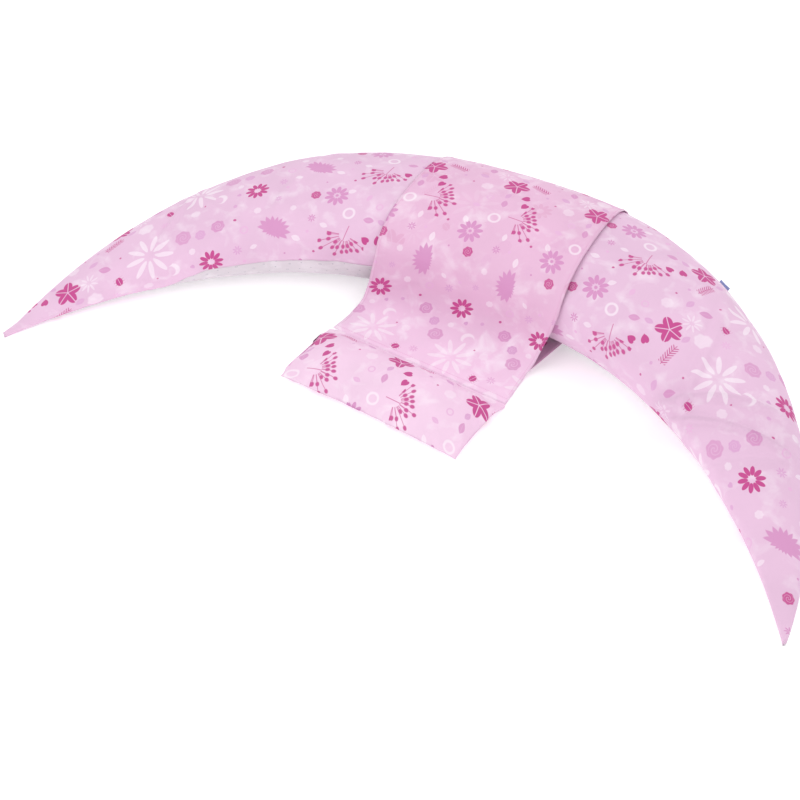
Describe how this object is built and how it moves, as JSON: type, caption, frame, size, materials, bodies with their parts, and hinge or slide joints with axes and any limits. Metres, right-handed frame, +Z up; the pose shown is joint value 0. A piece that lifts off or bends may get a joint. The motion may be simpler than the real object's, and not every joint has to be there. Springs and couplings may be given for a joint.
{
  "type": "nursing pillow",
  "caption": "Crescent-shaped soft nursing pillow with long tapered horns, a fabric sleeve that slides round its middle and a folding flap that ends in a small flat pillow.",
  "frame": {"origin": "middle of the underside of the object's box", "axes": "+X along the chord between the horn tips, +Y towards the convex back, +Z up"},
  "size_m": [1.3994, 0.6876, 0.1978],
  "materials": {
    "print_cotton": "matt plain-woven cotton with a floral print",
    "plain_cotton": "matt plain-woven cotton with a fine grey print",
    "band_cotton": "matt thin plain-woven cotton with a floral print",
    "ticking": "matt close-woven cotton",
    "fibre": "soft hollow fibre",
    "zip_tape": "woven polyester tape",
    "zip_coil": "nylon coil",
    "zip_metal": "nickel-plated",
    "woven_label": "satin-woven tape",
    "care_tape": "satin-woven tape"
  },
  "bodies": {
    "crescent": {"cover_top_panel": "print_cotton", "cover_base_panel": "plain_cotton", "inner_case_top": "ticking", "inner_case_base": "ticking", "fibre_fill": "fibre", "cover_zip_upper_tape": "zip_tape", "cover_zip_lower_tape": "zip_tape", "cover_zip_coil": "zip_coil", "cover_zip_start_stop": "zip_metal", "cover_zip_end_stop": "zip_metal", "side_label": "woven_label", "care_label": "care_tape"},
    "sleeve": {"sleeve_top_panel": "band_cotton", "sleeve_base_panel": "band_cotton"},
    "flap": {"flap_upper_ply": "band_cotton", "flap_lower_ply": "band_cotton"},
    "mini_pillow": {"mini_cover_top": "band_cotton", "mini_cover_base": "band_cotton", "mini_case_top": "ticking", "mini_case_base": "ticking", "mini_fill": "fibre", "mini_zip_upper_tape": "zip_tape", "mini_zip_lower_tape": "zip_tape", "mini_zip_coil": "zip_coil", "mini_zip_start_stop": "zip_metal", "mini_zip_end_stop": "zip_metal"},
    "cover_slider": {"cover_zip_slider": "zip_metal"},
    "cover_pull": {"cover_zip_pull": "zip_metal"},
    "mini_slider": {"mini_zip_slider": "zip_metal"},
    "mini_pull": {"mini_zip_pull": "zip_metal"}
  },
  "joints": [
    {"name": "sleeve_shift", "type": "hinge", "parent": "crescent", "child": "sleeve", "pos_m": [0, -0.70087, 0], "axis": [0, 0, 1], "range_deg": [-6, 6]},
    {"name": "flap_fold", "type": "hinge", "parent": "sleeve", "child": "flap", "pos_m": [-0.01447, 0.01115, 0.00137], "axis": [-0.9997, 0.0246, 0], "range_deg": [0, 60]},
    {"name": "mini_pillow_fold", "type": "hinge", "parent": "flap", "child": "mini_pillow", "pos_m": [-0.015, -0.07536, 0.00137], "axis": [0.9945, -0.1045, 0], "range_deg": [-105, 0]},
    {"name": "cover_zip_run", "type": "hinge", "parent": "crescent", "child": "cover_slider", "pos_m": [-0.06068, -0.25817, -0.0086], "axis": [0.0232, -0.2026, 0.979], "range_deg": [0, 26.6]},
    {"name": "cover_pull_swing", "type": "hinge", "parent": "cover_slider", "child": "cover_pull", "pos_m": [-0.33193, 0.28164, 0.10954], "axis": [-0.0232, 0.2026, -0.979], "range_deg": [0, 170]},
    {"name": "mini_zip_run", "type": "slide", "parent": "mini_pillow", "child": "mini_slider", "axis": [-0.1045, -0.9945, 0], "range_m": [0, 0.086]},
    {"name": "mini_pull_swing", "type": "hinge", "parent": "mini_slider", "child": "mini_pull", "pos_m": [-0.20013, -0.09798, 0.013], "axis": [0, 0, -1], "range_deg": [0, 170]}
  ]
}
